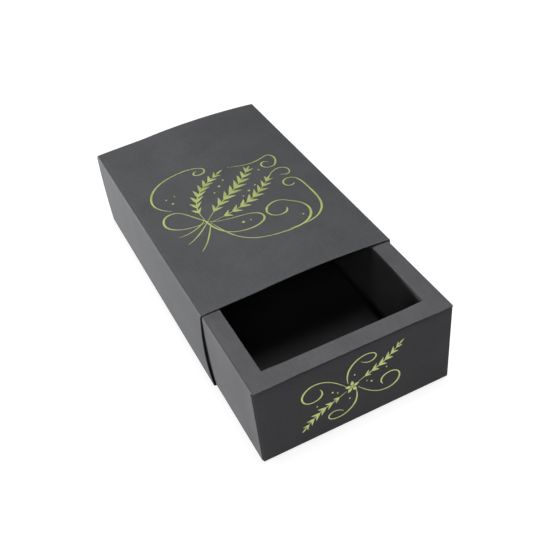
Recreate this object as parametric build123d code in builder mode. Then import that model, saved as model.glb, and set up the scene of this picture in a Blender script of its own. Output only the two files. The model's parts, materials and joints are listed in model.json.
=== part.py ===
# Sliding drawer gift box in folded card: a sleeve open at both ends, and a drawer whose top is a
# frame round a window. Each panel between two creases is a part of its own, and panels meet face
# to face where a crease ends. Millimetres. X is to the right, Y to the rear, Z up, and the origin
# is the middle of the sleeve's footprint. The drawer is drawn pulled out, as it rests in use.
import os

from build123d import *

# ---------------------------------------------------------------- driving dimensions
board = 0.45               # thickness of the card
fold_radius = 0.6          # outside radius of every folded crease

drawer_width = 100.0       # outside, wall to wall
drawer_length = 158.0      # outside, from the frame's front edge to its rear edge
drawer_height = 47.0       # outside, from the base to the top of the frame
side_rim = 9.0             # width of the frame along the side walls
end_rim = 10.0             # width of the frame along the ends

sleeve_length = 159.0      # mouth to mouth
side_gap = 0.75            # between a drawer wall and the sleeve's wall
slide_gap = 0.1            # under the drawer
top_gap = 0.4              # between the drawer and the sleeve's top, measured at its creases
top_bow = 2.0              # how far the sleeve's top rises in the middle
left_bow = 1.1             # how far the sleeve's left panel swells in the middle

pulled_out = 54.0          # how far the drawer stands out of the sleeve as it rests

glue_flap_height = 14.0    # how far a glued flap reaches up inside its wall
glue_flap_taper = 4.0      # cut off the two free corners of a glued flap
dust_flap_length = 24.0    # how far a dust flap reaches in from its side wall
window_trim = 1.0          # trimmed off each half of the window where the card was cut through
lock_tab_width = 12.0      # locking tabs at the foot of the inner end walls
lock_tab_spacing = 50.0    # between the middles of the two tabs

end_recess = 0.3           # an end panel stands this far behind the frame's cut edge
layer_gap = 0.05           # between two layers of card that lie on each other
fit_gap = 0.3              # between a cut edge and what it stops short of
slot_gap = 0.1             # round a locking tab in its slot

# ---------------------------------------------------------------- places that follow
sleeve_width = drawer_width + 2 * (side_gap + board)
sleeve_height = drawer_height + slide_gap + top_gap + 2 * board
sleeve_side = sleeve_width / 2
sleeve_mouth = -sleeve_length / 2

drawer_side = drawer_width / 2
drawer_floor = board + slide_gap                   # underside of the drawer's base
drawer_top = drawer_floor + drawer_height          # top face of the frame
drawer_front = sleeve_mouth - pulled_out           # front edge of the frame
drawer_middle = drawer_front + drawer_length / 2
base_top = drawer_floor + board

end_face = drawer_front + end_recess               # outer face of the front panel
tuck_top = drawer_top - board - layer_gap          # top face of the strip under the frame
dust_face = end_face + board + layer_gap           # outer face of the front dust flaps
wall_front = dust_face + fold_radius               # where a side wall turns into its dust flap
wall_length = 2 * (drawer_middle - wall_front)
inner_face = drawer_front + end_rim - end_recess   # face of the inner end wall, to the window
inner_half_width = drawer_side - 2 * board - fit_gap

window_side = drawer_side - side_rim               # from the middle to a side of the window
window_length = drawer_length - 2 * end_rim
flap_edge = drawer_top - (window_side - window_trim)   # free edge of the window's folded halves

base_length = 2 * (drawer_middle - end_face - fold_radius)

# Section planes. The first looks at the box from the front, the second from its right side and
# the third from above.
across = Plane.XZ
along = Plane.YZ
flat = Plane.XY


# ---------------------------------------------------------------- shapes that repeat
def strip(low_x, low_y, high_x, high_y):
    # A straight stretch of card, or any other rectangle, between two corners.
    with BuildSketch() as shape:
        with Locations(((low_x + high_x) / 2, (low_y + high_y) / 2)):
            Rectangle(high_x - low_x, high_y - low_y)
    return shape.sketch


def fold(centre_x, centre_y, start):
    # A quarter turn of card round a crease, anticlockwise from the angle start.
    with BuildSketch() as shape:
        with BuildLine():
            outer = CenterArc((centre_x, centre_y), fold_radius, start, 90)
            inner = CenterArc((centre_x, centre_y), fold_radius - board, start, 90)
            Line(outer @ 0, inner @ 0)
            Line(outer @ 1, inner @ 1)
        make_face()
    return shape.sketch


def bowed_strip(start, end, bow):
    # A stretch of card whose outer face swells by bow to the left of the way from start to end.
    outward = Vector(start[1] - end[1], end[0] - start[0]).normalized()
    outer_start = Vector(*start)
    outer_end = Vector(*end)
    outer_middle = (outer_start + outer_end) / 2 + outward * bow
    inward = outward * -board
    with BuildSketch() as shape:
        with BuildLine():
            outer = ThreePointArc(outer_start, outer_middle, outer_end)
            inner = ThreePointArc(outer_start + inward, outer_middle + inward, outer_end + inward)
            Line(outer @ 0, inner @ 0)
            Line(outer @ 1, inner @ 1)
        make_face()
    return shape.sketch


def finish(piece, name):
    piece.part.label = name
    export_step(piece.part, f"parts/{name}.step")


os.makedirs("parts", exist_ok=True)


# ---------------------------------------------------------------- sleeve
# The side panels keep the folds at their edges, so the top and bottom are plain panels.
sleeve_section = across.offset(sleeve_length / 2)    # the front mouth
panel_foot = fold_radius                             # where a side panel leaves its bottom fold
panel_head = sleeve_height - fold_radius             # and where it enters the top one
top_reach = sleeve_side - fold_radius

with BuildPart() as sleeve_top_panel:
    with BuildSketch(sleeve_section):
        add(bowed_strip((-top_reach, sleeve_height), (top_reach, sleeve_height), top_bow))
    extrude(amount=-sleeve_length)

with BuildPart() as sleeve_left_panel:
    with BuildSketch(sleeve_section):
        add(bowed_strip((-sleeve_side, panel_foot), (-sleeve_side, panel_head), left_bow))
        add(fold(-top_reach, panel_foot, 180))
        add(fold(-top_reach, panel_head, 90))
    extrude(amount=-sleeve_length)

# The right panel comes down over the glue flap, and its lower edge is a cut edge.
with BuildPart() as sleeve_right_panel:
    with BuildSketch(sleeve_section):
        add(strip(sleeve_side - board, 0, sleeve_side, panel_head))
        add(fold(top_reach, panel_head, 0))
    extrude(amount=-sleeve_length)

with BuildPart() as sleeve_bottom_panel:
    with BuildSketch(sleeve_section):
        add(strip(-top_reach, 0, top_reach - board, board))
    extrude(amount=-sleeve_length)


def glue_flap(wall_face, floor, length, middle):
    # The flap turns up from a bottom panel and lies inside the wall at wall_face.
    reach = wall_face - board
    with BuildPart() as flap:
        with BuildSketch(across.offset(length / 2 - middle)):
            add(strip(reach - board, floor + fold_radius, reach, floor + glue_flap_height))
            add(fold(reach - fold_radius, floor + fold_radius, 270))
        extrude(amount=-length)
        free_corners = flap.edges().filter_by(Axis.X).group_by(Axis.Z)[-1]
        chamfer(free_corners, glue_flap_taper)
    return flap


sleeve_glue_flap = glue_flap(sleeve_side, 0, sleeve_length, 0)

# ---------------------------------------------------------------- drawer, along its length
drawer_wall_section = across.offset(wall_length / 2 - drawer_middle)
drawer_full_section = across.offset(-drawer_front)
wall_foot = drawer_floor + fold_radius
wall_head = drawer_top - fold_radius
frame_reach = drawer_side - fold_radius

with BuildPart() as drawer_left_wall:
    with BuildSketch(drawer_wall_section):
        add(strip(-drawer_side, wall_foot, -drawer_side + board, wall_head))
        add(fold(-frame_reach, wall_foot, 180))
    extrude(amount=-wall_length)

with BuildPart() as drawer_right_wall:
    with BuildSketch(drawer_wall_section):
        add(strip(drawer_side - board, drawer_floor, drawer_side, wall_head))
    extrude(amount=-wall_length)

drawer_glue_flap = glue_flap(drawer_side, drawer_floor, wall_length, drawer_middle)

# The base ends at the creases of the end panels and has a slot for each locking tab.
with BuildPart() as drawer_base:
    with BuildSketch(flat.offset(drawer_floor)):
        with Locations((-board / 2, drawer_middle)):
            Rectangle(2 * frame_reach - board, base_length)
        tab_rows = 2 * (drawer_middle - inner_face) + board
        with Locations((0, drawer_middle)):
            with GridLocations(lock_tab_spacing, tab_rows, 2, 2):
                Rectangle(lock_tab_width + 2 * slot_gap, board + 2 * slot_gap, mode=Mode.SUBTRACT)
    extrude(amount=board)

# One sheet makes the whole frame, so its corners have no seam. It takes in the fold over each
# side wall from end to end.
with BuildPart() as drawer_top_frame:
    with BuildSketch(drawer_full_section):
        add(strip(-frame_reach, drawer_top - board, frame_reach, drawer_top))
        add(fold(-frame_reach, wall_head, 90))
        add(fold(frame_reach, wall_head, 0))
    extrude(amount=-drawer_length)
    with BuildSketch(flat.offset(drawer_top)):
        with Locations((0, drawer_middle)):
            Rectangle(2 * (window_side + fold_radius), window_length)
    extrude(amount=-board, mode=Mode.SUBTRACT)

# The window was cut along its middle, and its two halves fold down as the inner side walls. They
# are half as deep as the window is wide, so they hang a little above the base.
inner_flap_length = window_length - 2 * fit_gap
inner_flap_section = across.offset(inner_flap_length / 2 - drawer_middle)

with BuildPart() as drawer_left_inner_flap:
    with BuildSketch(inner_flap_section):
        add(strip(-window_side - board, flap_edge, -window_side, wall_head))
        add(fold(-window_side - fold_radius, wall_head, 0))
    extrude(amount=-inner_flap_length)

with BuildPart() as drawer_right_inner_flap:
    mirror(drawer_left_inner_flap.part, about=Plane.YZ)

# ---------------------------------------------------------------- drawer, front end
# The end panel turns up from the base, tucks under the frame as a narrow strip, and turns down
# again as the inner end wall, whose tabs lock in the base.
panel_section = along.offset(-frame_reach)
inner_section = along.offset(-inner_half_width)
tuck_turn = inner_face - fold_radius

with BuildPart() as front_panel:
    with BuildSketch(panel_section):
        add(strip(end_face, wall_foot, end_face + board, tuck_top - fold_radius))
        add(fold(end_face + fold_radius, wall_foot, 180))
        add(fold(end_face + fold_radius, tuck_top - fold_radius, 90))
    extrude(amount=2 * frame_reach)

with BuildPart() as front_tuck_strip:
    with BuildSketch(inner_section):
        add(strip(end_face + fold_radius, tuck_top - board, tuck_turn, tuck_top))
    extrude(amount=2 * inner_half_width)

with BuildPart() as front_inner_wall:
    with BuildSketch(inner_section):
        add(strip(inner_face - board, base_top + layer_gap, inner_face, tuck_top - fold_radius))
        add(fold(tuck_turn, tuck_top - fold_radius, 0))
    extrude(amount=2 * inner_half_width)
    with BuildSketch(flat.offset(drawer_floor)):
        with Locations((0, inner_face - board / 2)):
            with GridLocations(lock_tab_spacing, 0, 2, 1):
                Rectangle(lock_tab_width, board)
    extrude(amount=board + layer_gap)

# A dust flap turns in from each side wall and stands behind the end panel. It stops short of the
# end panel's folds.
flap_foot = wall_foot + slot_gap
flap_height = tuck_top - fold_radius - slot_gap - flap_foot

with BuildPart() as front_left_dust_flap:
    with BuildSketch(flat.offset(flap_foot)):
        add(strip(-frame_reach, dust_face, -drawer_side + dust_flap_length, dust_face + board))
        add(fold(-frame_reach, wall_front, 180))
    extrude(amount=flap_height)

with BuildPart() as front_right_dust_flap:
    mirror(front_left_dust_flap.part, about=Plane.YZ)

# ---------------------------------------------------------------- drawer, rear end
# The rear end is the front end turned to face the other way.
halfway = Plane.XZ.offset(-drawer_middle)


def rear_twin(piece):
    with BuildPart() as twin:
        mirror(piece.part, about=halfway)
    return twin


# ---------------------------------------------------------------- finished pieces
pieces = {
    "sleeve_top_panel": sleeve_top_panel,
    "sleeve_left_panel": sleeve_left_panel,
    "sleeve_right_panel": sleeve_right_panel,
    "sleeve_bottom_panel": sleeve_bottom_panel,
    "sleeve_glue_flap": sleeve_glue_flap,
    "drawer_base": drawer_base,
    "drawer_left_wall": drawer_left_wall,
    "drawer_right_wall": drawer_right_wall,
    "drawer_glue_flap": drawer_glue_flap,
    "drawer_top_frame": drawer_top_frame,
    "drawer_left_inner_flap": drawer_left_inner_flap,
    "drawer_right_inner_flap": drawer_right_inner_flap,
    "front_panel": front_panel,
    "front_tuck_strip": front_tuck_strip,
    "front_inner_wall": front_inner_wall,
    "front_left_dust_flap": front_left_dust_flap,
    "front_right_dust_flap": front_right_dust_flap,
    "rear_panel": rear_twin(front_panel),
    "rear_tuck_strip": rear_twin(front_tuck_strip),
    "rear_inner_wall": rear_twin(front_inner_wall),
    "rear_left_dust_flap": rear_twin(front_left_dust_flap),
    "rear_right_dust_flap": rear_twin(front_right_dust_flap),
}

for piece_name, piece in pieces.items():
    finish(piece, piece_name)
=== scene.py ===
# Sliding gift box of folded card, with its drawer pulled out, seen from the front left.
import json
import math

import bmesh
import bpy
from mathutils import Matrix, Vector

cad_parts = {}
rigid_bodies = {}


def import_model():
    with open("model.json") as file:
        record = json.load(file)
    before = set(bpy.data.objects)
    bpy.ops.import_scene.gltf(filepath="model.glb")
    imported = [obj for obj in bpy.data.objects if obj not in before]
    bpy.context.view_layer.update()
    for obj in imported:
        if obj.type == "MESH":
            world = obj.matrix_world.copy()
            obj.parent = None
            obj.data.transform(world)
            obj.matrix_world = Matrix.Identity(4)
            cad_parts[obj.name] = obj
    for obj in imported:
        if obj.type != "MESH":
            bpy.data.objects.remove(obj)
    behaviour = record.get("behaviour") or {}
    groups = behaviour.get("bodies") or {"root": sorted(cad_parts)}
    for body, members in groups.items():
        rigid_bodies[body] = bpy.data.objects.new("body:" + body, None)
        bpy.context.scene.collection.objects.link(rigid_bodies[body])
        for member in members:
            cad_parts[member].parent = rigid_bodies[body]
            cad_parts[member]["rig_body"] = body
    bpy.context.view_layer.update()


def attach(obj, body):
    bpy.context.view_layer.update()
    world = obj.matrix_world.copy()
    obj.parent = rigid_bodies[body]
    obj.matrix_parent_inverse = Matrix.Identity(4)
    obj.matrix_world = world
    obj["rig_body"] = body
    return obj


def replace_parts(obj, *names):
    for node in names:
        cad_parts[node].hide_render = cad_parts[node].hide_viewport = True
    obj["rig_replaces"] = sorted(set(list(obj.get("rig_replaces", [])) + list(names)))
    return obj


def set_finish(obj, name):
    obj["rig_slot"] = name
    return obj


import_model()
mm = 0.001
right, rear, up = Vector((1, 0, 0)), Vector((0, 1, 0)), Vector((0, 0, 1))
left, front, down = -right, -rear, -up
touch = 0.01 * mm  # two places nearer than this are the same
slack = 0.05 * mm  # how near an edge of the sheet counts as on it
weld = 0.002 * mm

card = {
    "thickness": 0.45 * mm,
    "bend": 0.6 * mm,  # outside radius of a crease
    "bendSteps": 6,
    "cutRounding": 0.09 * mm,  # how much the die rounds a cut edge
    "scoreHalf": 0.35 * mm,  # half the width of the dent beside a crease
    "scoreDepth": 0.14 * mm,
    "scoreInset": 0.4 * mm,  # from the start of the bend to the middle of the dent
    "squareAngle": math.radians(50),  # edges sharper than this are cut edges
    "smoothAngle": math.radians(32),
    "fibreRelief": 0.06 * mm,
}


def workOn(piece):
    if bpy.context.mode != "OBJECT":
        bpy.ops.object.mode_set(mode="OBJECT")
    bpy.ops.object.select_all(action="DESELECT")
    piece.select_set(True)
    bpy.context.view_layer.objects.active = piece


def pick(piece, test):
    # Selects the vertices at the places that pass the test, and leaves the piece in edit mode.
    workOn(piece)
    bpy.ops.object.mode_set(mode="EDIT")
    bpy.ops.mesh.select_mode(type="VERT")
    mesh = bmesh.from_edit_mesh(piece.data)
    for vertex in mesh.verts:
        vertex.select_set(test(vertex.co))
    mesh.select_flush_mode()
    bmesh.update_edit_mesh(piece.data)


def near(value, target):
    return abs(value - target) < touch


def layPanel(name, low, high, facing, cuts=0):
    # A flat panel between two corners, whose outer face looks the way it faces.
    turn = facing.to_track_quat("Z", "Y")
    span = turn.inverted() @ (high - low)
    bpy.ops.object.select_all(action="DESELECT")
    bpy.ops.mesh.primitive_plane_add(size=1, location=(low + high) / 2, rotation=turn.to_euler())
    piece = bpy.context.object
    piece.name = piece.data.name = name
    piece.scale = (abs(span.x), abs(span.y), 1)
    bpy.ops.object.transform_apply(location=True, rotation=True, scale=True)
    if cuts:
        pick(piece, lambda co: True)
        bpy.ops.mesh.subdivide(number_cuts=cuts)
        workOn(piece)
    return piece


def swell(piece, middle, reach, rise):
    # The row of vertices at the middle is pulled out, and its neighbours follow less and less.
    pick(piece, middle)
    bpy.ops.transform.translate(
        value=rise,
        use_proportional_edit=True,
        proportional_edit_falloff="INVERSE_SQUARE",
        proportional_size=reach,
    )
    workOn(piece)


def taperSwell(piece, endRow, factor, foot, reach, falloff="LINEAR"):
    # The swelling is more or less at one end, and evens out towards the other.
    pick(piece, endRow)
    bpy.ops.transform.resize(
        value=factor,
        center_override=foot,
        use_proportional_edit=True,
        proportional_edit_falloff=falloff,
        proportional_size=reach,
    )
    workOn(piece)


def pressCorner(piece, corner, shift, reach):
    # One end of a crease is pushed aside, and the card around it gives way.
    pick(piece, corner)
    bpy.ops.transform.translate(
        value=shift,
        use_proportional_edit=True,
        proportional_edit_falloff="LINEAR",
        proportional_size=reach,
    )
    workOn(piece)


def cutAlong(piece, place, way):
    # A new row of vertices, straight across the whole sheet.
    pick(piece, lambda co: True)
    bpy.ops.mesh.bisect(plane_co=place, plane_no=way)
    workOn(piece)


def cutHole(piece, low, high):
    # A rectangle is cut out of a level sheet.
    for corner in (low, high):
        cutAlong(piece, corner, right)
        cutAlong(piece, corner, rear)
    bpy.ops.object.mode_set(mode="EDIT")
    bpy.ops.mesh.select_mode(type="FACE")
    sheet = bmesh.from_edit_mesh(piece.data)
    for face in sheet.faces:
        centre = face.calc_center_median()
        face.select_set(low.x < centre.x < high.x and low.y < centre.y < high.y)
    bmesh.update_edit_mesh(piece.data)
    bpy.ops.mesh.delete(type="FACE")
    workOn(piece)


def score(piece, place, way, dent):
    # The creasing rule leaves a shallow dent in the face of the card, just beside the fold.
    for shift in (-card["scoreHalf"], 0, card["scoreHalf"]):
        cutAlong(piece, place + shift * way, way)
    pick(piece, lambda co: near((co - place).dot(way), 0))
    bpy.ops.transform.translate(value=dent * card["scoreDepth"])
    workOn(piece)


def foldEdge(piece, edge, crease, axis, degrees):
    # Spin turns the other way round its axis than a rotation does.
    pick(piece, edge)
    bpy.ops.mesh.spin(
        steps=card["bendSteps"], angle=-math.radians(degrees), center=crease, axis=axis
    )
    workOn(piece)


def faceOut(piece, facing):
    # Normals of an open sheet all look one way, which is made the way of its outer face.
    pick(piece, lambda co: True)
    bpy.ops.mesh.remove_doubles(threshold=weld)
    bpy.ops.mesh.normals_make_consistent(inside=False)
    workOn(piece)
    total = sum((face.normal * face.area for face in piece.data.polygons), Vector())
    if total.dot(facing) < 0:
        pick(piece, lambda co: True)
        bpy.ops.mesh.flip_normals()
        workOn(piece)


def thicken(piece, facing, joined, skin):
    # The sheet gets the card's thickness inwards. Cut edges are rounded, and edges where the
    # same sheet goes on in the next panel are left square, so that no gap shows there.
    faceOut(piece, facing)
    piece.data.materials.clear()
    # The outer face takes the skin, the inner face the near-black painted shade, and the cut edges
    # the paler card with a painted highlight.
    for material in (skin, innerShadeCard, cutEdgeHighlightCard):
        piece.data.materials.append(material)
    solid = piece.modifiers.new("thickness", "SOLIDIFY")
    solid.thickness = card["thickness"]
    solid.offset = -1
    solid.use_even_offset = True
    solid.material_offset = 1
    solid.material_offset_rim = 2
    workOn(piece)
    bpy.ops.object.modifier_apply(modifier=solid.name)
    bpy.ops.object.mode_set(mode="EDIT")
    bpy.ops.mesh.select_mode(type="EDGE")
    mesh = bmesh.from_edit_mesh(piece.data)
    for edge in mesh.edges:
        middle = (edge.verts[0].co + edge.verts[1].co) / 2
        sharp = len(edge.link_faces) == 2 and edge.calc_face_angle() > card["squareAngle"]
        edge.select_set(sharp and not joined(middle))
    bmesh.update_edit_mesh(piece.data)
    bpy.ops.mesh.bevel(
        offset=card["cutRounding"], segments=2, affect="EDGES", clamp_overlap=True, material=2
    )
    workOn(piece)


def markWearAndHighlight(piece, facing):
    # How far each vertex is rubbed and given a painted highlight: most on the round of a crease or
    # a cut edge.
    wearAndHighlight = piece.data.attributes.new("wearAndHighlight", "FLOAT", "POINT")
    for vertex in piece.data.vertices:
        flatness = vertex.normal.dot(facing) ** 2
        wearAndHighlight.data[vertex.index].value = 4 * flatness * (1 - flatness)


def finishPanel(name, piece, facing, body, joined, slot):
    thicken(piece, facing, joined, sleeveCard if body == "sleeve" else drawerCard)
    markWearAndHighlight(piece, facing)
    workOn(piece)
    bpy.ops.object.shade_smooth_by_angle(angle=card["smoothAngle"])
    # Broad faces keep their own normals beside narrow bends and rounded edges.
    even = piece.modifiers.new("even shading", "WEIGHTED_NORMAL")
    even.weight = 100
    even.keep_sharp = True
    bpy.ops.object.modifier_apply(modifier=even.name)
    hand(piece, body, name, slot)


def hand(piece, body, node, slot):
    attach(piece, body)
    if node:
        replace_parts(piece, node)
    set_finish(piece, slot)


def twin(piece, name, middle, axis, body, slot):
    # The other one of a pair: a copy with its own mesh, mirrored about the middle of the box.
    workOn(piece)
    bpy.ops.object.duplicate(linked=False)
    copy = bpy.context.object
    copy.name = copy.data.name = name
    copy.parent = None
    copy.matrix_world = Matrix.Identity(4)
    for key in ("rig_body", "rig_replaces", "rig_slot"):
        if key in copy:
            del copy[key]
    pick(copy, lambda co: True)
    flip = [-1 if part else 1 for part in axis]
    bpy.ops.transform.resize(value=flip, center_override=middle)
    bpy.ops.mesh.normals_make_consistent(inside=False)
    workOn(copy)
    hand(copy, body, name, slot)
    return copy


def newGroup(name, inputs, outputs):
    group = bpy.data.node_groups.new(name, "ShaderNodeTree")
    for label, kind, value in inputs:
        socket = group.interface.new_socket(label, in_out="INPUT", socket_type=kind)
        if value is not None:
            socket.default_value = value
    for label, kind in outputs:
        group.interface.new_socket(label, in_out="OUTPUT", socket_type=kind)
    return group, group.nodes.new("NodeGroupInput"), group.nodes.new("NodeGroupOutput")


def addNode(tree, kind, settings=None, **values):
    node = tree.nodes.new(kind)
    for key, value in (settings or {}).items():
        setattr(node, key, value)
    for label, value in values.items():
        node.inputs[label.replace("_", " ")].default_value = value
    return node


def remap(tree, source, fromMin, fromMax, toMin, toMax):
    node = addNode(tree, "ShaderNodeMapRange")
    for label, value in zip(
        ("From Min", "From Max", "To Min", "To Max"), (fromMin, fromMax, toMin, toMax)
    ):
        node.inputs[label].default_value = value
    tree.links.new(source, node.inputs["Value"])
    return node.outputs["Result"]


def cardGrain():
    # Soft clouds in the dye, and the felted fibres of the sheet.
    group, given, got = newGroup(
        "card grain",
        [
            ("Vector", "NodeSocketVector", None),
            ("Cloud Scale", "NodeSocketFloat", 55.0),
            ("Fibre Scale", "NodeSocketFloat", 900.0),
        ],
        [
            ("Cloud", "NodeSocketFloat"),
            ("Fibre", "NodeSocketFloat"),
            ("Height", "NodeSocketFloat"),
        ],
    )
    link = group.links.new
    clouds = addNode(group, "ShaderNodeTexNoise", Detail=4.0, Roughness=0.6)
    link(given.outputs["Vector"], clouds.inputs["Vector"])
    link(given.outputs["Cloud Scale"], clouds.inputs["Scale"])
    stretch = addNode(group, "ShaderNodeMapping", Rotation=(0.0, 0.0, 0.5), Scale=(1.0, 0.22, 1.0))
    link(given.outputs["Vector"], stretch.inputs["Vector"])
    fibres = addNode(group, "ShaderNodeTexNoise", Detail=3.0, Roughness=0.55, Distortion=0.6)
    link(stretch.outputs["Vector"], fibres.inputs["Vector"])
    link(given.outputs["Fibre Scale"], fibres.inputs["Scale"])
    felt = addNode(group, "ShaderNodeTexNoise", Detail=2.0, Roughness=0.6)
    link(given.outputs["Vector"], felt.inputs["Vector"])
    double = addNode(group, "ShaderNodeMath", {"operation": "MULTIPLY"})
    double.inputs[1].default_value = 2.3
    link(given.outputs["Fibre Scale"], double.inputs[0])
    link(double.outputs[0], felt.inputs["Scale"])
    both = addNode(group, "ShaderNodeMath", {"operation": "ADD"})
    link(fibres.outputs["Fac"], both.inputs[0])
    link(felt.outputs["Fac"], both.inputs[1])
    link(clouds.outputs["Fac"], got.inputs["Cloud"])
    link(fibres.outputs["Fac"], got.inputs["Fibre"])
    link(both.outputs[0], got.inputs["Height"])
    return group


def edgeWearAndHighlight():
    # Where creases and cut edges have been rubbed and carry a painted highlight, broken up so that
    # it looks handled.
    group, given, got = newGroup(
        "rubbed edges and painted highlights",
        [("Vector", "NodeSocketVector", None), ("Amount", "NodeSocketFloat", 0.5)],
        [("Mask", "NodeSocketFloat")],
    )
    link = group.links.new
    wearAndHighlight = addNode(group, "ShaderNodeAttribute", {"attribute_name": "wearAndHighlight"})
    patches = addNode(group, "ShaderNodeTexNoise", Scale=260.0, Detail=5.0, Roughness=0.7)
    link(given.outputs["Vector"], patches.inputs["Vector"])
    broken = remap(group, patches.outputs["Fac"], 0.32, 0.62, 0.35, 1.0)
    share = addNode(group, "ShaderNodeMath", {"operation": "MULTIPLY"})
    link(wearAndHighlight.outputs["Fac"], share.inputs[0])
    link(broken, share.inputs[1])
    amount = addNode(group, "ShaderNodeMath", {"operation": "MULTIPLY", "use_clamp": True})
    link(share.outputs[0], amount.inputs[0])
    link(given.outputs["Amount"], amount.inputs[1])
    link(amount.outputs[0], got.inputs["Mask"])
    return group


grainGroup = cardGrain()
wearHighlightGroup = edgeWearAndHighlight()


def mixColour(tree, mask, first, second):
    mix = addNode(tree, "ShaderNodeMix", {"data_type": "RGBA"})
    tree.links.new(mask, mix.inputs["Factor"])
    for label, colour in (("A", first), ("B", second)):
        socket = next(s for s in mix.inputs if s.name == label and s.type == "RGBA")
        if isinstance(colour, tuple):
            socket.default_value = colour
        else:
            tree.links.new(colour, socket)
    return next(s for s in mix.outputs if s.type == "RGBA")


def cardFinish(name, look):
    material = bpy.data.materials.new(name)
    material.use_nodes = True
    tree = material.node_tree
    link = tree.links.new
    surface = tree.nodes["Principled BSDF"]
    place = addNode(tree, "ShaderNodeTexCoord")
    grain = addNode(tree, "ShaderNodeGroup", {"node_tree": grainGroup})
    wearAndHighlight = addNode(tree, "ShaderNodeGroup", {"node_tree": wearHighlightGroup})
    for group in (grain, wearAndHighlight):
        link(place.outputs["Object"], group.inputs["Vector"])
    wearAndHighlight.inputs["Amount"].default_value = look["wearAndHighlight"]
    grain.inputs["Fibre Scale"].default_value = look["fibreScale"]
    dark, pale, wornHighlightColour = look["dark"], look["pale"], look["wornHighlightColour"]
    cloud = remap(tree, grain.outputs["Cloud"], 0.35, 0.65, 0.0, 1.0)
    dyed = mixColour(tree, cloud, dark, pale)
    fibre = remap(tree, grain.outputs["Fibre"], 0.35, 0.75, 0.0, look["fibreShow"])
    flecked = mixColour(tree, fibre, dyed, look["fibreColour"])
    # Paler on the rounds of creases and cut edges: rubbed wear and a painted highlight.
    wornAndHighlit = mixColour(tree, wearAndHighlight.outputs["Mask"], flecked, wornHighlightColour)
    link(wornAndHighlit, surface.inputs["Base Color"])
    link(
        remap(tree, grain.outputs["Fibre"], 0.3, 0.7, look["rough"][0], look["rough"][1]),
        surface.inputs["Roughness"],
    )
    surface.inputs["Specular IOR Level"].default_value = look["gloss"]
    bump = addNode(tree, "ShaderNodeBump", Strength=look["bump"], Distance=card["fibreRelief"])
    link(grain.outputs["Height"], bump.inputs["Height"])
    link(bump.outputs["Normal"], surface.inputs["Normal"])
    return material


sleeveCard = cardFinish(
    "charcoal card of the sleeve",
    {
        "dark": (0.053, 0.054, 0.059, 1),
        "pale": (0.063, 0.064, 0.069, 1),
        "fibreColour": (0.094, 0.096, 0.101, 1),
        "fibreShow": 0.45,
        "fibreScale": 900.0,
        "wornHighlightColour": (0.120, 0.122, 0.126, 1),
        "wearAndHighlight": 0.35,
        "rough": (0.72, 0.86),
        "gloss": 0.3,
        "bump": 0.25,
    },
)
drawerCard = cardFinish(
    "charcoal card of the drawer",
    {
        "dark": (0.064, 0.064, 0.070, 1),
        "pale": (0.077, 0.076, 0.082, 1),
        "fibreColour": (0.110, 0.109, 0.114, 1),
        "fibreShow": 0.45,
        "fibreScale": 900.0,
        "wornHighlightColour": (0.130, 0.130, 0.136, 1),
        "wearAndHighlight": 0.35,
        "rough": (0.72, 0.86),
        "gloss": 0.3,
        "bump": 0.25,
    },
)
# Painted shade: the inside face of every sheet is near-black, so the drawer's floor, the gaps and
# the sleeve's inside read as shaded.
innerShadeCard = cardFinish(
    "inside of the card, painted near-black as shade",
    {
        "dark": (0.012, 0.012, 0.0135, 1),
        "pale": (0.016, 0.016, 0.017, 1),
        "fibreColour": (0.023, 0.023, 0.025, 1),
        "fibreShow": 0.3,
        "fibreScale": 700.0,
        "wornHighlightColour": (0.040, 0.040, 0.044, 1),
        "wearAndHighlight": 0.3,
        "rough": (0.8, 0.92),
        "gloss": 0.2,
        "bump": 0.35,
    },
)
# Cut edges are paler: exposed fibres and a painted highlight along the edge.
cutEdgeHighlightCard = cardFinish(
    "cut edge of the card, paler with a painted highlight",
    {
        "dark": (0.072, 0.074, 0.078, 1),
        "pale": (0.096, 0.098, 0.102, 1),
        "fibreColour": (0.128, 0.130, 0.134, 1),
        "fibreShow": 0.5,
        "fibreScale": 1800.0,
        "wornHighlightColour": (0.160, 0.160, 0.168, 1),
        "wearAndHighlight": 0.5,
        "rough": (0.8, 0.95),
        "gloss": 0.2,
        "bump": 0.5,
    },
)


def foilFinish(name, look):
    # Stamped foil: metal laid on paper, so it is part mirror and part pale pigment.
    material = bpy.data.materials.new(name)
    material.use_nodes = True
    tree = material.node_tree
    link = tree.links.new
    surface = tree.nodes["Principled BSDF"]
    place = addNode(tree, "ShaderNodeTexCoord")
    grain = addNode(tree, "ShaderNodeGroup", {"node_tree": grainGroup})
    grain.inputs["Cloud Scale"].default_value = look["cloudScale"]
    grain.inputs["Fibre Scale"].default_value = look["pitScale"]
    link(place.outputs["Object"], grain.inputs["Vector"])
    cloud = remap(tree, grain.outputs["Cloud"], 0.35, 0.65, 0.0, 1.0)
    toned = mixColour(tree, cloud, look["deep"], look["bright"])
    pits = remap(tree, grain.outputs["Fibre"], 0.62, 0.80, 0.0, look["pitShow"])
    link(mixColour(tree, pits, toned, look["pitColour"]), surface.inputs["Base Color"])
    link(
        remap(tree, grain.outputs["Cloud"], 0.3, 0.7, look["rough"][0], look["rough"][1]),
        surface.inputs["Roughness"],
    )
    link(
        remap(tree, grain.outputs["Fibre"], 0.3, 0.8, look["metal"][0], look["metal"][1]),
        surface.inputs["Metallic"],
    )
    bump = addNode(tree, "ShaderNodeBump", Strength=look["bump"], Distance=look["pitDepth"])
    link(grain.outputs["Height"], bump.inputs["Height"])
    link(bump.outputs["Normal"], surface.inputs["Normal"])
    return material


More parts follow.
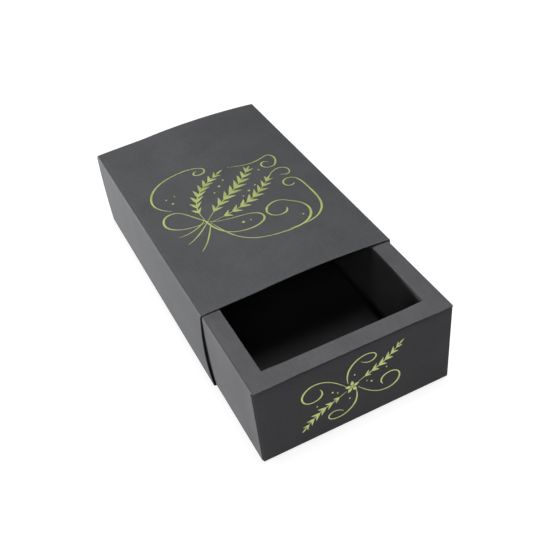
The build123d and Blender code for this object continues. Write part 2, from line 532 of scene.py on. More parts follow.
goldFoil = foilFinish(
    "pale gold foil",
    {
        "deep": (0.54, 0.63, 0.20, 1),
        "bright": (0.66, 0.74, 0.27, 1),
        "pitColour": (0.20, 0.22, 0.09, 1),
        "pitShow": 0.6,
        "cloudScale": 140.0,
        "pitScale": 1600.0,
        "pitDepth": 0.03 * mm,
        "rough": (0.34, 0.46),
        "metal": (0.58, 0.42),
        "bump": 0.35,
    },
)
print("finishes are mixed")

sleeve = {
    "half": 51.2 * mm,
    "height": 48.4 * mm,
    "mouth": -79.5 * mm,
    "rear": 79.5 * mm,
    "topSwell": 1.0 * mm,  # in the middle
    "topSwellAside": 1.15 * mm,  # and as much again a little to the right
    "topSwellOffset": 14 * mm,
    "topSwellRear": 0.96,  # times as much at the rear
    "sideSwell": 1.3 * mm,
    "sideSwellRear": 0.35,
    "leftBend": 1.0 * mm,  # its left creases are pressed rounder than the rest
    "pressReach": 46 * mm,
    "mouthPress": (0.2 * mm, 0, 0),  # at the left crease
    "rearPress": (0.2 * mm, 0, -0.3 * mm),
    "glueFlapHeight": 14 * mm,
    "glueFlapTaper": 4 * mm,
}
bend = card["bend"]
leftBend = sleeve["leftBend"]
sleeveLength = sleeve["rear"] - sleeve["mouth"]
reach = sleeve["half"] - bend
leftReach = sleeve["half"] - leftBend
head = sleeve["height"] - bend
leftHead = sleeve["height"] - leftBend


def pressedIn(y):
    # How far the left crease is pushed in there.
    return sum(
        sleeve[press][0] * max(0, 1 - abs(y - sleeve[end]) / sleeve["pressReach"])
        for end, press in (("mouth", "mouthPress"), ("rear", "rearPress"))
    )


topPanel = layPanel(
    "sleeve_top_panel",
    Vector((-leftReach, sleeve["mouth"], sleeve["height"])),
    Vector((reach, sleeve["rear"], sleeve["height"])),
    up,
    cuts=31,
)
for side, edge in ((left, leftReach), (right, reach)):
    score(topPanel, side * (edge - card["scoreInset"]) + up * sleeve["height"], right, down)
for middle in (0, sleeve["topSwellOffset"]):
    cutAlong(topPanel, (middle, 0, 0), right)
swell(topPanel, lambda co: near(co.x, 0), leftReach, (0, 0, sleeve["topSwell"]))
swell(
    topPanel,
    lambda co: near(co.x, sleeve["topSwellOffset"]),
    reach - sleeve["topSwellOffset"],
    (0, 0, sleeve["topSwellAside"]),
)
taperSwell(
    topPanel,
    lambda co: near(co.y, sleeve["rear"]),
    (1, 1, sleeve["topSwellRear"]),
    (0, 0, sleeve["height"]),
    sleeveLength,
)
for end, press in ((sleeve["mouth"], "mouthPress"), (sleeve["rear"], "rearPress")):
    pressCorner(
        topPanel,
        lambda co: near(co.y, end) and near(co.x, -leftReach),
        sleeve[press],
        sleeve["pressReach"],
    )
finishPanel(
    "sleeve_top_panel",
    topPanel,
    up,
    "sleeve",
    lambda co: co.x > reach - slack or co.x < pressedIn(co.y) - leftReach + slack,
    "sleeve_card",
)

leftPanel = layPanel(
    "sleeve_left_panel",
    Vector((-sleeve["half"], sleeve["mouth"], leftBend)),
    Vector((-sleeve["half"], sleeve["rear"], leftHead)),
    left,
    cuts=15,
)
middleHeight = sleeve["height"] / 2
for height in (leftBend + card["scoreInset"], leftHead - card["scoreInset"]):
    score(leftPanel, left * sleeve["half"] + up * height, up, right)
swell(
    leftPanel,
    lambda co: near(co.z, middleHeight),
    middleHeight - leftBend,
    (-sleeve["sideSwell"], 0, 0),
)
taperSwell(
    leftPanel,
    lambda co: near(co.y, sleeve["rear"]),
    (sleeve["sideSwellRear"], 1, 1),
    (-sleeve["half"], 0, 0),
    sleeveLength,
)
foldEdge(leftPanel, lambda co: near(co.z, leftHead), (-leftReach, 0, leftHead), rear, 90)
foldEdge(leftPanel, lambda co: near(co.z, leftBend), (-leftReach, 0, leftBend), rear, -90)
for end, press in ((sleeve["mouth"], "mouthPress"), (sleeve["rear"], "rearPress")):
    pressCorner(
        leftPanel,
        lambda co: near(co.y, end) and co.z > leftHead - touch,
        sleeve[press],
        sleeve["pressReach"],
    )
finishPanel(
    "sleeve_left_panel",
    leftPanel,
    left,
    "sleeve",
    lambda co: co.x > -leftReach - slack + (pressedIn(co.y) if co.z > middleHeight else 0),
    "sleeve_card",
)

rightPanel = layPanel(
    "sleeve_right_panel",
    Vector((sleeve["half"], sleeve["mouth"], 0)),
    Vector((sleeve["half"], sleeve["rear"], head)),
    right,
    cuts=11,
)
score(rightPanel, right * sleeve["half"] + up * (head - card["scoreInset"]), up, left)
foldEdge(rightPanel, lambda co: near(co.z, head), (reach, 0, head), rear, -90)
finishPanel(
    "sleeve_right_panel",
    rightPanel,
    right,
    "sleeve",
    lambda co: co.x < reach + slack,
    "sleeve_card",
)

flapFace = sleeve["half"] - card["thickness"]
bottomPanel = layPanel(
    "sleeve_bottom_panel",
    Vector((-leftReach, sleeve["mouth"], 0)),
    Vector((flapFace - bend, sleeve["rear"], 0)),
    down,
    cuts=7,
)
finishPanel(
    "sleeve_bottom_panel",
    bottomPanel,
    down,
    "sleeve",
    lambda co: co.x < -leftReach + slack or co.x > flapFace - bend - slack,
    "sleeve_card",
)


def layGlueFlap(name, face, level, low, high, body, slot):
    # Turned up from the bottom crease, with its free corners cut off. Both blanks have one.
    tip = level + sleeve["glueFlapHeight"]
    flap = layPanel(name, Vector((face, low, level + bend)), Vector((face, high, tip)), right)
    pick(flap, lambda co: near(co.z, tip))
    bpy.ops.transform.resize(
        value=(1, 1 - 2 * sleeve["glueFlapTaper"] / (high - low), 1),
        center_override=(face, (low + high) / 2, level),
    )
    foldEdge(flap, lambda co: near(co.z, level + bend), (face - bend, 0, level + bend), rear, 90)
    finishPanel(name, flap, right, body, lambda co: co.x < face - bend + slack, slot)


layGlueFlap(
    "sleeve_glue_flap", flapFace, 0, sleeve["mouth"], sleeve["rear"], "sleeve", "sleeve_card"
)
print("sleeve is folded")

drawer = {
    "half": 50 * mm,
    "floor": 0.55 * mm,
    "top": 47.55 * mm,
    "front": -133.5 * mm,
    "rear": 24.5 * mm,
    "sideRim": 9.4 * mm,
    "flare": 0.35 * mm,  # the walls spring out this far at the top
    "endRim": 10 * mm,
    "endRecess": 0.3 * mm,
    "layer": 0.05 * mm,  # air between two sheets that lie together
    "flapEdge": 7.55 * mm,  # height of an inner flap's lower edge
    "flapShort": 0.3 * mm,  # an inner flap is this much shorter than the window at each end
    "dustFlap": 24 * mm,
    "tabWidth": 12 * mm,
    "tabSpacing": 50 * mm,
    "slotPlay": 0.1 * mm,
    "endSwell": 0.2 * mm,  # of its front and rear panels
    "leftSwell": 0.85 * mm,  # of its left wall, halfway along
    "tuckDrop": 0.35 * mm,  # the frame stands off the folded end below it
    "rimLift": 0.45 * mm,  # the end of the frame rises at its cut edge
    "rimDip": 0.4 * mm,  # and sinks at the window
    "rimDipShare": 0.76,  # of the window's half width, where it does so in full
    "nickReach": 1.4 * mm,  # from the end of the frame
    "nicks": ((0.02 * mm, 0.5 * mm), (0.3 * mm, 0.4 * mm), (0.52 * mm, 0.4 * mm)),
    "endWallPlay": 0.3 * mm,  # at each side
}
middleY = (drawer["front"] + drawer["rear"]) / 2
halfway = (0, middleY, 0)
drawerReach = drawer["half"] - bend
foot = drawer["floor"] + bend
rim = drawer["top"] - bend
windowSide = drawer["half"] + drawer["flare"] - drawer["sideRim"]
frameReach = drawerReach + drawer["flare"]
endFace = drawer["front"] + drawer["endRecess"]
tuckTop = drawer["top"] - card["thickness"] - drawer["layer"] - drawer["tuckDrop"]
dustFace = endFace + card["thickness"] + drawer["layer"]
wallFront = dustFace + bend
wallRear = 2 * middleY - wallFront
innerFace = drawer["front"] + drawer["endRim"] - drawer["endRecess"]
innerHalf = drawer["half"] - 2 * card["thickness"] - drawer["endWallPlay"]

base = layPanel(
    "drawer_base",
    Vector((-drawerReach, endFace + bend, drawer["floor"])),
    Vector((drawerReach - card["thickness"], 2 * middleY - endFace - bend, drawer["floor"])),
    down,
    cuts=7,
)
# Each end wall locks into two slots in the base.
slotHalf = Vector((drawer["tabWidth"], card["thickness"], 0)) / 2
slotHalf += Vector((1, 1, 0)) * drawer["slotPlay"]
tabRow = innerFace - card["thickness"] / 2
for row in (tabRow, 2 * middleY - tabRow):
    for side in (-1, 1):
        middle = Vector((side * drawer["tabSpacing"] / 2, row, 0))
        cutHole(base, middle - slotHalf, middle + slotHalf)
finishPanel(
    "drawer_base",
    base,
    down,
    "drawer",
    lambda co: abs(co.x) > drawerReach - card["thickness"] - slack
    or abs(co.y - middleY) > middleY - endFace - bend - slack,
    "drawer_card",
)


def springOut(piece, way):
    # The wall leans outwards, most at its top.
    top = max(vertex.co.z for vertex in piece.data.vertices)
    pick(piece, lambda co: near(co.z, top))
    bpy.ops.transform.translate(
        value=drawer["flare"] * way,
        use_proportional_edit=True,
        proportional_edit_falloff="LINEAR",
        proportional_size=top - foot,
    )
    workOn(piece)


leftWall = layPanel(
    "drawer_left_wall",
    Vector((-drawer["half"], wallFront, foot)),
    Vector((-drawer["half"], wallRear, rim)),
    left,
    cuts=15,
)
middleWall = (foot + rim) / 2
swell(
    leftWall,
    lambda co: near(co.z, middleWall),
    middleWall - foot,
    (-drawer["leftSwell"], 0, 0),
)
for end in (wallFront, wallRear):
    taperSwell(
        leftWall,
        lambda co: near(co.y, end),
        (0, 1, 1),
        (-drawer["half"], 0, 0),
        middleY - wallFront,
        "SHARP",
    )
springOut(leftWall, left)
score(leftWall, left * drawer["half"] + up * (rim - card["scoreInset"]), up, right)
score(leftWall, left * drawer["half"] + up * (foot + card["scoreInset"]), up, right)
foldEdge(leftWall, lambda co: near(co.z, foot), (-drawerReach, 0, foot), rear, -90)
finishPanel("drawer_left_wall", leftWall, left, "drawer", lambda co: True, "drawer_card")

rightWall = layPanel(
    "drawer_right_wall",
    Vector((drawer["half"], wallFront, drawer["floor"])),
    Vector((drawer["half"], wallRear, rim)),
    right,
    cuts=11,
)
springOut(rightWall, right)
score(rightWall, right * drawer["half"] + up * (rim - card["scoreInset"]), up, left)
finishPanel(
    "drawer_right_wall",
    rightWall,
    right,
    "drawer",
    lambda co: co.z > foot,
    "drawer_card",
)
layGlueFlap(
    "drawer_glue_flap",
    drawer["half"] - card["thickness"],
    drawer["floor"],
    wallFront,
    wallRear,
    "drawer",
    "drawer_card",
)

# The frame starts as one sheet, and the window is cut out of it.
topFrame = layPanel(
    "drawer_top_frame",
    Vector((-frameReach, drawer["front"], drawer["top"])),
    Vector((frameReach, drawer["rear"], drawer["top"])),
    up,
    cuts=23,
)
windowFront = drawer["front"] + drawer["endRim"]
windowRear = drawer["rear"] - drawer["endRim"]
openingSide = windowSide + bend
cutHole(topFrame, Vector((-openingSide, windowFront, 0)), Vector((openingSide, windowRear, 0)))
for side in (left, right):
    score(topFrame, side * (frameReach - card["scoreInset"]) + up * drawer["top"], right, down)
for edge, rise in (
    (drawer["front"], drawer["rimLift"]),
    (windowFront, -drawer["rimDip"]),
    (windowRear, -drawer["rimDip"]),
    (drawer["rear"], drawer["rimLift"]),
):
    pick(topFrame, lambda co: near(co.y, edge) and abs(co.x) < drawer["rimDipShare"] * openingSide)
    bpy.ops.transform.translate(
        value=(0, 0, rise),
        use_proportional_edit=True,
        proportional_edit_falloff="LINEAR",
        proportional_size=drawer["endRim"],
    )
    workOn(topFrame)
foldEdge(topFrame, lambda co: near(co.x, -frameReach), (-frameReach, 0, rim), rear, -90)
foldEdge(topFrame, lambda co: near(co.x, frameReach), (frameReach, 0, rim), rear, 90)
# The die rounds each corner off, so that the bend ends over the turn of the wall below it.
for edge, way in ((drawer["front"], 1), (drawer["rear"], -1)):
    for start, nick in drawer["nicks"]:
        pick(
            topFrame,
            lambda co: abs(co.y - edge) < drawer["nickReach"] and abs(co.x) > frameReach + start,
        )
        bpy.ops.transform.translate(value=(0, way * nick, 0))
        workOn(topFrame)
finishPanel(
    "drawer_top_frame",
    topFrame,
    up,
    "drawer",
    lambda co: abs(abs(co.x) - openingSide) < slack or co.z < rim + slack,
    "drawer_card",
)

# Each half of the window's card is folded down as an inner side wall.
innerFlap = layPanel(
    "drawer_left_inner_flap",
    Vector((-windowSide, windowFront + drawer["flapShort"], drawer["flapEdge"])),
    Vector((-windowSide, windowRear - drawer["flapShort"], rim)),
    right,
    cuts=7,
)
foldEdge(innerFlap, lambda co: near(co.z, rim), (-openingSide, 0, rim), rear, -90)
finishPanel(
    "drawer_left_inner_flap",
    innerFlap,
    right,
    "drawer",
    lambda co: co.x < -openingSide + slack,
    "drawer_card",
)
twin(innerFlap, "drawer_right_inner_flap", (0, 0, 0), right, "drawer", "drawer_card")

# The end: an outer panel, a strip tucked under the frame, an inner wall, and two dust flaps.
endPanel = layPanel(
    "front_panel",
    Vector((-drawerReach, endFace, foot)),
    Vector((drawerReach, endFace, tuckTop - bend)),
    front,
    cuts=15,
)
endHead = tuckTop - bend
endMiddle = (foot + endHead) / 2
for height in (foot + card["scoreInset"], endHead - card["scoreInset"]):
    score(endPanel, front * -endFace + up * height, up, rear)
pick(endPanel, lambda co: near(co.z, endHead))
bpy.ops.transform.resize(
    value=(frameReach / drawerReach, 1, 1),
    center_override=(0, endFace, 0),
    use_proportional_edit=True,
    proportional_edit_falloff="LINEAR",
    proportional_size=endHead - foot,
)
pick(endPanel, lambda co: near(co.z, endMiddle) and abs(co.x) < drawerReach / 2)
bpy.ops.transform.translate(
    value=(0, -drawer["endSwell"], 0),
    use_proportional_edit=True,
    proportional_edit_falloff="SMOOTH",
    proportional_size=endMiddle - foot,
)
workOn(endPanel)
foldEdge(endPanel, lambda co: near(co.z, foot), (0, endFace + bend, foot), right, 90)
foldEdge(endPanel, lambda co: near(co.z, endHead), (0, endFace + bend, endHead), right, -90)
finishPanel(
    "front_panel",
    endPanel,
    front,
    "drawer",
    lambda co: co.y > endFace + bend - slack,
    "drawer_card",
)

tuckStrip = layPanel(
    "front_tuck_strip",
    Vector((-innerHalf, endFace + bend, tuckTop)),
    Vector((innerHalf, innerFace - bend, tuckTop)),
    up,
)
pick(tuckStrip, lambda co: near(co.y, innerFace - bend))
bpy.ops.transform.translate(value=(0, 0, -drawer["rimDip"]))
finishPanel(
    "front_tuck_strip",
    tuckStrip,
    up,
    "drawer",
    lambda co: co.y > innerFace - bend - slack or co.y < endFace + bend + slack,
    "drawer_card",
)

wallFoot = drawer["floor"] + card["thickness"] + drawer["layer"]
wallHead = tuckTop - drawer["rimDip"] - bend
endWall = layPanel(
    "front_inner_wall",
    Vector((-innerHalf, innerFace, wallFoot)),
    Vector((innerHalf, innerFace, wallHead)),
    rear,
)
for side in (-1, 1):
    for edge in (-1, 1):
        place = side * drawer["tabSpacing"] / 2 + edge * drawer["tabWidth"] / 2
        cutAlong(endWall, (place, 0, 0), right)
pick(
    endWall,
    lambda co: near(co.z, wallFoot)
    and abs(abs(co.x) - drawer["tabSpacing"] / 2) < drawer["tabWidth"] / 2 + touch,
)
bpy.ops.mesh.extrude_region_move(
    TRANSFORM_OT_translate={"value": (0, 0, drawer["floor"] - wallFoot)}
)
workOn(endWall)
foldEdge(
    endWall,
    lambda co: near(co.z, wallHead),
    (0, innerFace - bend, wallHead),
    right,
    90,
)
finishPanel(
    "front_inner_wall",
    endWall,
    rear,
    "drawer",
    lambda co: co.y < innerFace - bend + slack,
    "drawer_card",
)

dustFlap = layPanel(
    "front_left_dust_flap",
    Vector((-drawerReach, dustFace, foot + drawer["slotPlay"])),
    Vector((-drawer["half"] + drawer["dustFlap"], dustFace, tuckTop - bend - drawer["slotPlay"])),
    front,
)
foldEdge(dustFlap, lambda co: near(co.x, -drawerReach), (-drawerReach, wallFront, 0), up, -90)
springOut(dustFlap, left)
finishPanel(
    "front_left_dust_flap",
    dustFlap,
    front,
    "drawer",
    lambda co: co.y > wallFront - slack,
    "drawer_card",
)
otherDustFlap = twin(
    dustFlap, "front_right_dust_flap", (0, 0, 0), right, "drawer", "drawer_card"
)
for piece, name in (
    (endPanel, "rear_panel"),
    (tuckStrip, "rear_tuck_strip"),
    (endWall, "rear_inner_wall"),
    (dustFlap, "rear_left_dust_flap"),
    (otherDustFlap, "rear_right_dust_flap"),
):
    twin(piece, name, halfway, rear, "drawer", "drawer_card")
print("drawer is folded")

# Two stampings of gold foil: sprigs tied with a ribbon on the lid, and a garland on the front.
foil = {
    "hairline": 0.17 * mm,  # half the width of a thin stroke
    "slant": 62,  # degrees; the pen is broad along this line and fine across it
    "relief": 0.045,  # thickness of a stroke as a share of its width
    "leafOpening": 34,  # degrees between a leaf and its stem
    "leafShape": ((0, 0.12), (0.2, 0.95), (0.5, 1.25), (0.8, 0.55), (1, 0.05)),  # place and width
    "leafSweep": 0.1,  # how far a leaf bows, as a share of its length
    "innerLeaf": 0.92,  # size of the second leaf of a pair, as a share of the first
    "smallestLeaf": 0.62,
    "pairsFrom": 0.16,  # where on the stem the first pair stands
    "pairsOver": 0.77,  # how much of the stem the pairs take up
    "stem": 0.36,
    "endTaper": 0.6,  # of a hairline, at both ends of a stroke
    "curlStep": 45,  # degrees
    "curlReach": 1.1,  # times the radius of the loop
    "castFrom": 10 * mm,
    "smoothAngle": math.radians(50),
}


def penWidth(points, number, broad):
    before = points[max(0, number - 1)]
    after = points[min(len(points) - 1, number + 1)]
    if number in (0, len(points) - 1):
        return foil["endTaper"] * foil["hairline"]
    slope = math.atan2(after[1] - before[1], after[0] - before[0])
    share = math.cos(slope - math.radians(foil["slant"])) ** 2
    return foil["hairline"] + (broad - foil["hairline"]) * share


def drawLine(curve, points, widths):
    line = curve.splines.new("NURBS")
    line.points.add(len(points) - 1)
    for point, (x, y), width in zip(line.points, points, widths):
        point.co = (x * mm, y * mm, 0, 1)
        point.radius = width
    line.order_u = 4
    line.use_endpoint_u = True
    line.resolution_u = 8


def drawStroke(curve, points, broad):
    broad = broad * mm
    drawLine(curve, points, [penWidth(points, number, broad) for number in range(len(points))])


def drawLeaf(curve, base, degrees, length, width, sweep):
    turn = Matrix.Rotation(math.radians(degrees), 2)
    points = []
    for along, share in foil["leafShape"]:
        bow = sweep * length * 4 * along * (1 - along)
        points.append(Vector(base) + turn @ Vector((along * length, bow)))
    drawLine(curve, points, [width * mm * share for along, share in foil["leafShape"]])


def walkAlong(points, share):
    # Where a pen is that has done a share of a smooth line, and which way it is heading.
    lengths = [(Vector(b) - Vector(a)).length for a, b in zip(points, points[1:])]
    ahead = share * sum(lengths)
    for start, end, length in zip(points, points[1:], lengths):
        if ahead <= length:
            break
        ahead -= length
    heading = Vector(end) - Vector(start)
    place = Vector(start) + heading * (ahead / length)
    return place, math.degrees(math.atan2(heading.y, heading.x))


def smoothLine(points):
    # The points along a spline, read from a mesh of it.
    curve = bpy.data.curves.new("guide", "CURVE")
    drawLine(curve, points, [0] * len(points))
    guide = bpy.data.objects.new("guide", curve)
    mesh = bpy.data.meshes.new_from_object(guide)
    line = [(vertex.co.x / mm, vertex.co.y / mm) for vertex in mesh.vertices]
    bpy.data.meshes.remove(mesh)
    bpy.data.objects.remove(guide)
    bpy.data.curves.remove(curve)
    return line


def drawSprig(curve, stem, pairs, length, width):
    # Leaves stand in pairs along a stem, largest in the middle, and one ends it.
    drawStroke(curve, stem, foil["stem"])
    line = smoothLine(stem)
    for pair in range(pairs):
        share = pair / (pairs - 1)
        base, heading = walkAlong(line, foil["pairsFrom"] + foil["pairsOver"] * share)
        fullness = math.sin(math.pi * (0.12 + 0.8 * share))
        size = foil["smallestLeaf"] + (1 - foil["smallestLeaf"]) * fullness
        for side, leafSize in ((1, size), (-1, foil["innerLeaf"] * size)):
            opening = heading + side * foil["leafOpening"]
            sweep = -foil["leafSweep"] * side
            drawLeaf(curve, base, opening, length * leafSize, width * size, sweep)
    base, heading = walkAlong(line, 1)
    drawLeaf(curve, base, heading, 0.75 * length, 0.7 * width, 0.04)


def curl(centre, radii, angles, flatness):
    # Control points round a loop that closes in, or opens, as it goes. They stand a little
    # outside it, because the line cuts the corners between them.
    steps = max(2, round(abs(angles[1] - angles[0]) / foil["curlStep"]))
    points = []
    for number in range(steps + 1):
        share = number / steps
        radius = foil["curlReach"] * (radii[0] + (radii[1] - radii[0]) * share)
        angle = math.radians(angles[0] + (angles[1] - angles[0]) * share)
        points.append(
            (
                centre[0] + radius * math.cos(angle),
                centre[1] + flatness * radius * math.sin(angle),
            )
        )
    return points


def stampFoil(name, curve, dots, panel, lay, outward, body):
    # The strokes are made a mesh, pressed flat, and laid on the face of the panel.
    curve.dimensions = "3D"
    curve.bevel_depth = 1
    curve.bevel_resolution = 1
    curve.use_fill_caps = True
    piece = bpy.data.objects.new(name, curve)
    bpy.context.scene.collection.objects.link(piece)
    workOn(piece)
    bpy.ops.object.convert(target="MESH")
    pieces = [piece]
    for x, y, radius in dots:
        bpy.ops.object.select_all(action="DESELECT")
        bpy.ops.mesh.primitive_uv_sphere_add(
            segments=12, ring_count=6, radius=radius * mm, location=(x * mm, y * mm, 0)
        )
        pieces.append(bpy.context.object)
    for part in pieces:
        part.select_set(True)
    bpy.context.view_layer.objects.active = piece
    bpy.ops.object.join()
    bpy.ops.object.transform_apply(location=True, rotation=True, scale=True)
    pick(piece, lambda co: True)
    bpy.ops.transform.resize(value=(1, 1, foil["relief"]), center_override=(0, 0, 0))
    bpy.ops.mesh.normals_make_consistent(inside=False)
    workOn(piece)
    bpy.context.view_layer.update()
    for vertex in piece.data.vertices:
        spot = lay @ Vector((vertex.co.x, vertex.co.y, 0))
        surfacePlace = panel.ray_cast(spot + foil["castFrom"] * outward, -outward)[1]
        vertex.co = surfacePlace + vertex.co.z * outward
    piece.data.materials.clear()
    piece.data.materials.append(goldFoil)
    bpy.ops.object.shade_smooth_by_angle(angle=foil["smoothAngle"])
    hand(piece, body, None, "gold_foil")
    print(name, "has", len(piece.data.polygons), "faces")


lid = bpy.data.curves.new("top_ornament", "CURVE")
drawSprig(lid, [(-20, -17), (-13, -10), (-4, -4.5), (7, 2), (17, 13)], 8, 8.2, 0.95)
drawSprig(lid, [(-19, -19), (-8, -18.5), (4, -16), (15, -9), (23, -1)], 8, 7.2, 0.85)
drawSprig(lid, [(-21, -15), (-22, -5), (-18, 5), (-10, 13), (0, 18)], 8, 7.2, 0.85)
# The cut ends of the stems.
for stem in (
    [(-20, -17), (-25, -22), (-30, -27), (-36, -29)],
    [(-19, -19), (-23, -26), (-26, -33), (-32, -38)],
    [(-21, -15), (-25, -19), (-31, -22), (-38, -21)],
):
    drawStroke(lid, stem, 0.5)
# The ribbon's two bows.
drawStroke(
    lid,
    [(-20.5, -17.5), (-14, -22), (-3, -23), (6, -26), (7, -33), (-2, -37), (-13, -34)]
    + [(-19, -27), (-21, -18), (-21.5, -14)],
    0.75,
)
drawStroke(
    lid,
    [(-20.5, -17.5), (-27, -18), (-36, -16), (-42, -9), (-39, 0), (-31, 0), (-27, -6)]
    + [(-23, -13), (-20, -18)],
    0.75,
)
# Its tails, which run out in curls.
drawStroke(
    lid,
    [(-19, -20), (-16, -32), (-10, -42), (0, -47)]
    + curl((17, -35), (14, 11), (-100, 60), 0.9)
    + curl((16, -30), (9.5, 3.2), (75, 360), 0.85),
    0.72,
)
drawStroke(
    lid,
    [(13, -47.2), (25, -48), (34, -43), (38.5, -33), (38, -20)]
    + curl((31.5, -11), (5.5, 2), (10, 330), 1),
    0.6,
)
# Tendrils round the sprigs.
drawStroke(
    lid,
    [(-33, 2), (-41, 8), (-40, 22), (-27, 32), (-12, 33), (-3, 29), (-4, 23.5), (-10, 23)]
    + [(-11.5, 27), (-8, 28)],
    0.7,
)
drawStroke(
    lid,
    [(8, 21), (16, 17), (26, 17), (33, 22), (36, 16), (33, 10)]
    + curl((28.5, 12.5), (4.5, 1.8), (-60, -330), 1),
    0.6,
)
drawStroke(lid, [(23, -1), (28, 5), (35, 6), (38, 0), (34, -4), (30, -1)], 0.5)
lidDots = [
    # place and radius, in millimetres
    (-3, 7, 0.75),
    (-7.5, 3, 0.5),
    (1, 11, 0.5),
    (9, -6, 0.75),
    (4.5, -8.8, 0.5),
    (14, -3, 0.5),
    (22, 9, 0.6),
    (-30, 8, 0.7),
    (-32, 13, 0.5),
    (-27, 13.5, 0.45),
    (-5, -29, 0.8),
    (-1, -29.5, 0.5),
    (24, -40, 0.55),
]
garland = bpy.data.curves.new("front_ornament", "CURVE")
drawSprig(garland, [(0, 26), (5, 28.5), (11, 30), (17, 34), (21.5, 38)], 6, 5, 0.62)
drawSprig(garland, [(-6, 23), (-11, 20.5), (-17, 19), (-23, 15), (-27, 11)], 6, 5, 0.62)
blossom = Vector((-3, 24.5))
for petal in range(5):
    degrees = 90 + 72 * petal
    base = blossom + 0.7 * (Matrix.Rotation(math.radians(degrees), 2) @ Vector((1, 0)))
    drawLeaf(garland, base, degrees, 3.1, 0.85, 0)
for tendril, broad in (
    (
        [(-6, 26), (-10, 31), (-16, 36), (-24, 37), (-29, 32), (-27, 26), (-20, 25)]
        + [(-17, 29), (-19, 32)],
        0.6,
    ),
    (
        [(0, 23), (4, 18), (10, 13), (18, 12), (23, 17), (21, 23), (14, 24), (11, 20)]
        + [(13, 17)],
        0.6,
    ),
    ([(-5, 27.5), (-6, 33), (-3, 39), (4, 42), (10, 40), (10, 36), (5, 35), (2, 38)], 0.5),
    ([(-1, 21.5), (0, 16), (-3, 10), (-10, 7), (-16, 9), (-16, 13), (-11, 14), (-8, 11)], 0.5),
):
    drawStroke(garland, tendril, broad)
garlandDots = [
    (-3, 24.5, 0.6),
    (-13, 26.5, 0.5),
    (-10.5, 24.8, 0.35),
    (7, 22.5, 0.5),
    (4.6, 24.2, 0.35),
    (-1.5, 31.5, 0.45),
    (-4.5, 17.5, 0.45),
    (15, 27.5, 0.4),
    (-21, 21.8, 0.4),
]
onLid = Matrix.Translation((0, 0, sleeve["height"]))
onFront = Matrix.Translation((0, endFace, 0)) @ Matrix.Rotation(math.radians(90), 4, "X")
stampFoil("top_ornament", lid, lidDots, topPanel, onLid, up, "sleeve")
stampFoil("front_ornament", garland, garlandDots, endPanel, onFront, front, "drawer")
print("foil is stamped")

studio = {
    "floorSize": 6.0,
    "floorDrop": 0.2 * mm,  # below the sleeve, so that the two don't flicker
    "floorTone": (0.27, 0.27, 0.27, 1),
    "floorTonePale": (0.29, 0.29, 0.29, 1),
    "floorGlow": 0.06,  # the light that it adds to the card
    "floorShine": 0.80,  # how bright the overexposed floor looks, also in the foil
    "skyGlow": 0.02,  # the light that the backdrop adds
    "skyShine": 1.0,  # how bright it looks
    "aim": Vector((0, -0.03, 0.03)),
    "lights": (
        # name, place, side, watts
        ("overhead softbox", (0.03, -0.08, 0.93), 0.35, 7.0),
        ("rear left softbox", (-0.836, 0.806, 0.125), 0.2, 25.5),
        ("right fill", (1.039, -0.03, 0.63), 0.6, 2.6),
        ("fill beside the camera", (-0.30, -0.83, 0.73), 0.5, 2.0),
    ),
}
bpy.ops.object.select_all(action="DESELECT")
bpy.ops.mesh.primitive_plane_add(size=studio["floorSize"], location=(0, 0, -studio["floorDrop"]))
floor = bpy.context.object
floor.name = "studio_floor"
paper = bpy.data.materials.new("white paper floor")
paper.use_nodes = True
paperTree = paper.node_tree
paperSurface = paperTree.nodes["Principled BSDF"]
paperPlace = addNode(paperTree, "ShaderNodeTexCoord")
paperNoise = addNode(paperTree, "ShaderNodeTexNoise", Scale=3.0, Detail=2.0)
paperTree.links.new(paperPlace.outputs["Object"], paperNoise.inputs["Vector"])
tone = mixColour(
    paperTree, paperNoise.outputs["Fac"], studio["floorTone"], studio["floorTonePale"]
)
paperTree.links.new(tone, paperSurface.inputs["Base Color"])
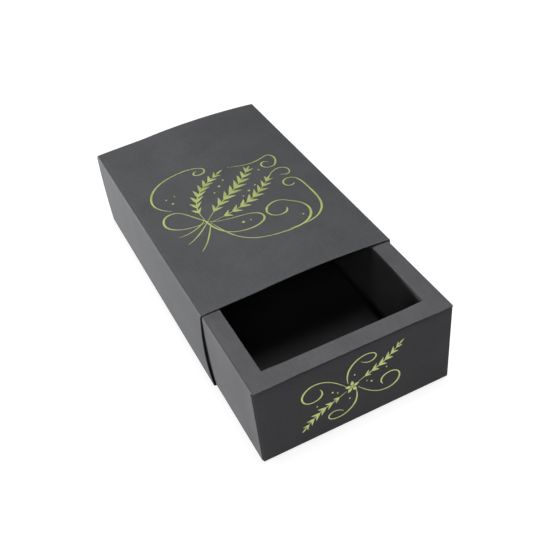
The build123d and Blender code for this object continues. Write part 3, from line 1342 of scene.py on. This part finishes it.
paperSurface.inputs["Roughness"].default_value = 1.0
paperSurface.inputs["Specular IOR Level"].default_value = 0.0
paperSurface.inputs["Emission Color"].default_value = (1, 1, 1, 1)
paperRays = addNode(paperTree, "ShaderNodeLightPath")
glow = remap(
    paperTree, paperRays.outputs["Is Diffuse Ray"], 0, 1, studio["floorShine"], studio["floorGlow"]
)
paperTree.links.new(glow, paperSurface.inputs["Emission Strength"])
floor.data.materials.append(paper)

for name, place, side, watts in studio["lights"]:
    lamp = bpy.data.lights.new(name, "AREA")
    lamp.shape = "SQUARE"
    lamp.size = side
    lamp.energy = watts
    lampHolder = bpy.data.objects.new(name, lamp)
    bpy.context.scene.collection.objects.link(lampHolder)
    aim = studio["aim"] - Vector(place)
    lampHolder.location = place
    lampHolder.rotation_euler = aim.to_track_quat("-Z", "Y").to_euler()

world = bpy.data.worlds.new("studio")
bpy.context.scene.world = world
world.use_nodes = True
sky = world.node_tree
rays = addNode(sky, "ShaderNodeLightPath")
strength = remap(sky, rays.outputs["Is Camera Ray"], 0, 1, studio["skyGlow"], studio["skyShine"])
sky.links.new(strength, sky.nodes["Background"].inputs["Strength"])
sky.nodes["Background"].inputs["Color"].default_value = (1, 1, 1, 1)

view = {
    "lens": 54.21,
    "sensor": 36,
    "nearest": 0.01,
    "place": (-0.1196, -0.3475, 0.3095),
    "azimuth": -21.94,
    "elevation": 41.38,
    "roll": -7.05,
}
lens = bpy.data.cameras.new("camera")
lens.lens = view["lens"]
lens.sensor_width = view["sensor"]
lens.clip_start = view["nearest"]
camera = bpy.data.objects.new("camera", lens)
bpy.context.scene.collection.objects.link(camera)
camera.location = view["place"]
camera.rotation_euler = (
    Matrix.Rotation(math.radians(view["azimuth"]), 3, "Z")
    @ Matrix.Rotation(math.radians(90 - view["elevation"]), 3, "X")
    @ Matrix.Rotation(math.radians(view["roll"]), 3, "Z")
).to_euler()
bpy.context.scene.camera = camera
bpy.context.scene.view_settings.view_transform = "Standard"
print("studio is lit")
